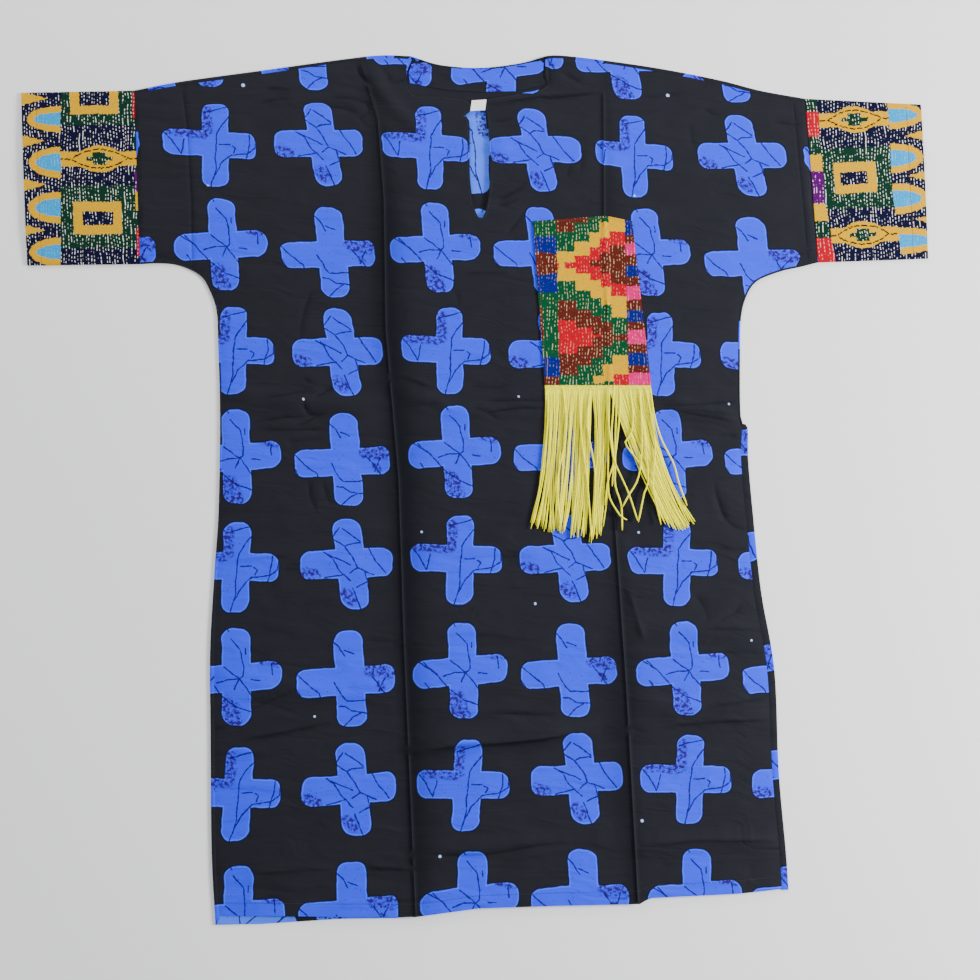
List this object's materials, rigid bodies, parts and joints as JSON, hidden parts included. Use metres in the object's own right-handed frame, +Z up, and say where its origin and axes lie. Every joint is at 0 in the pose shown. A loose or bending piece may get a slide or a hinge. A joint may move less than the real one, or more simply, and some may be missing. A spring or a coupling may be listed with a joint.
{
  "type": "ankara dress",
  "caption": "Loose straight-cut printed cotton dress with short wide sleeves, strip-cloth cuffs, a slit neck and a fringed patch pocket, laid out flat on its back.",
  "frame": {"origin": "middle of the outline, on the floor that the dress lies on", "axes": "+X across the dress towards the cuff on the right of the picture, +Y from the hem to the shoulders, +Z up from the floor"},
  "size_m": [1.169, 1.0972, 0.0128],
  "materials": {
    "print_cotton": "plain-weave cotton, charcoal ground with a blue printed cross",
    "strip_cloth": "dense strip-woven cotton in yellow, green, blue, brown and red",
    "fringe_yarn": "soft twisted yellow yarn",
    "label_tape": "plain white woven tape"
  },
  "bodies": {
    "root": {"back_panel": "print_cotton", "front_panel": "print_cotton", "neck_facing": "print_cotton", "cuff_left": "strip_cloth", "cuff_right": "strip_cloth", "pocket": "strip_cloth", "pocket_fringe": "fringe_yarn", "size_label": "label_tape"}
  },
  "joints": []
}
